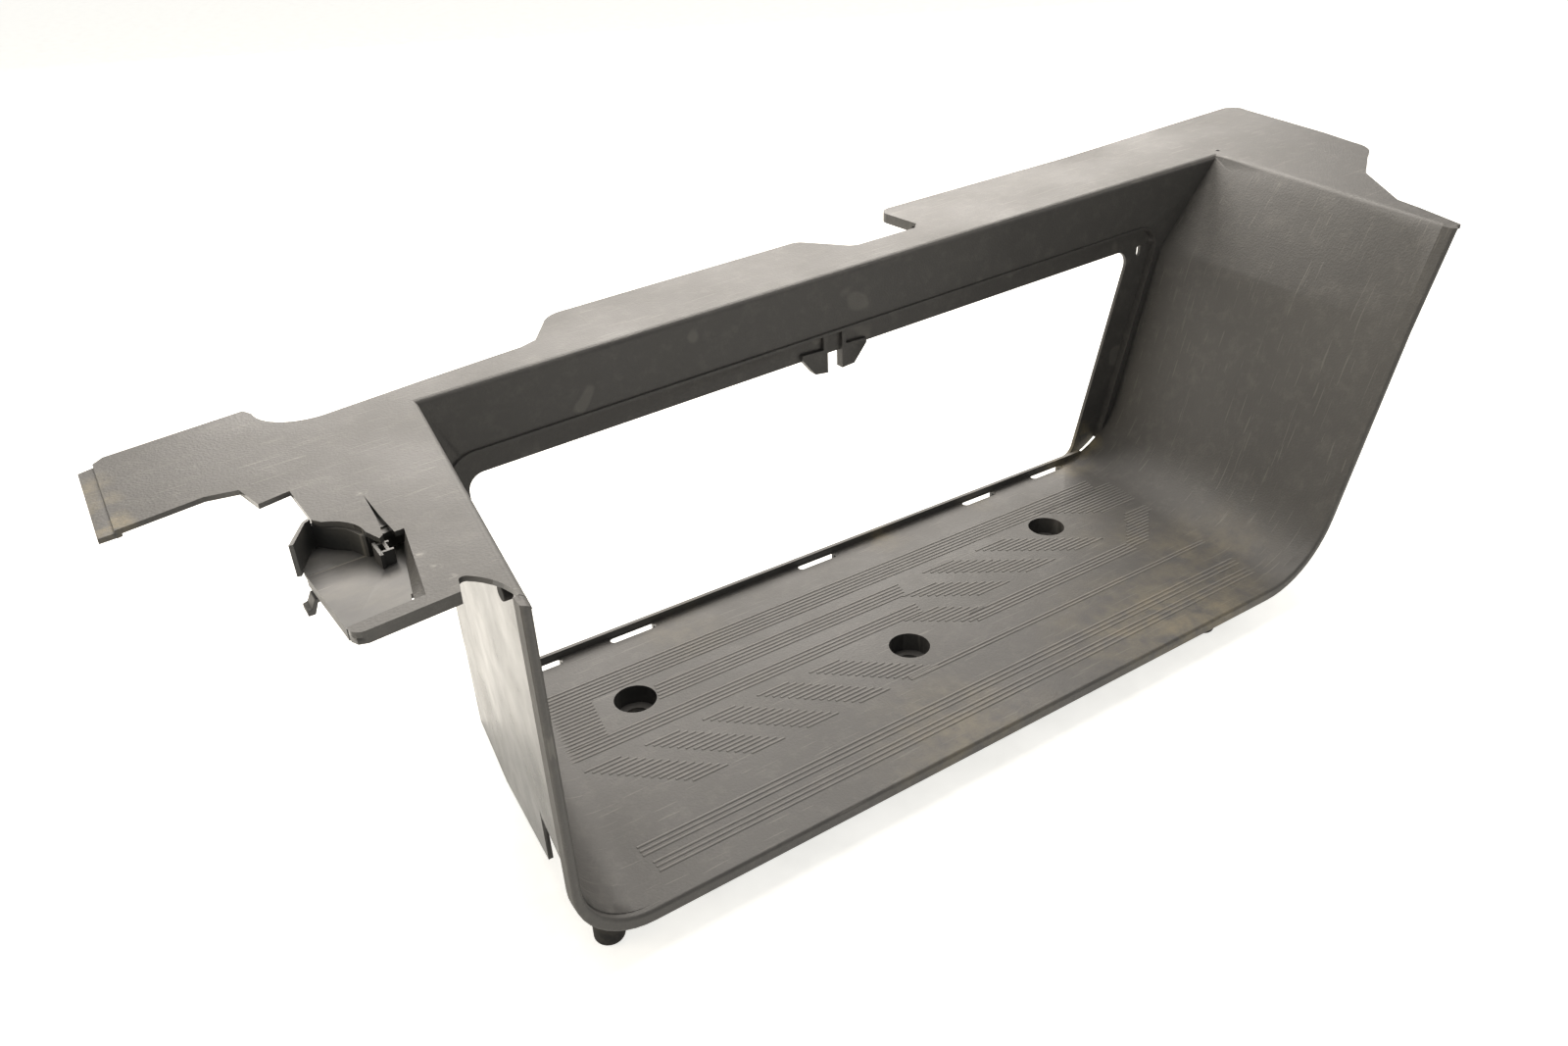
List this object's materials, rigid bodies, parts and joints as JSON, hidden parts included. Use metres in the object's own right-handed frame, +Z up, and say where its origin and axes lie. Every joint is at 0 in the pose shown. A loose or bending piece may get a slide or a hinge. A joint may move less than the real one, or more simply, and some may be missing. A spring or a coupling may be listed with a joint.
{
  "type": "step well trim",
  "caption": "Moulded entry step well trim with ribbed tread, open riser, top flange with tabs and tongue, end tray, screw sleeves and rubber feet.",
  "frame": {"origin": "centre of the bottom of the whole part's box, on the surface it stands on", "axes": "+X from the tongue end to the flared end, +Y from the nose to the riser, +Z up"},
  "size_m": [0.884, 0.2952, 0.2388],
  "materials": {
    "grained_plastic": "charcoal moulded polypropylene with a fine leather grain",
    "smooth_plastic": "charcoal moulded polypropylene, smooth from the tool",
    "sleeve_plastic": "black glass-filled nylon",
    "foot_rubber": "black rubber, dusty"
  },
  "bodies": {
    "root": {"step_panel": "grained_plastic", "tray": "smooth_plastic", "screw_sleeve_1": "sleeve_plastic", "screw_sleeve_2": "sleeve_plastic", "screw_sleeve_3": "sleeve_plastic", "rubber_foot_1": "foot_rubber", "rubber_foot_2": "foot_rubber", "tray_clip": "smooth_plastic", "wall_plug": "foot_rubber"}
  },
  "joints": []
}
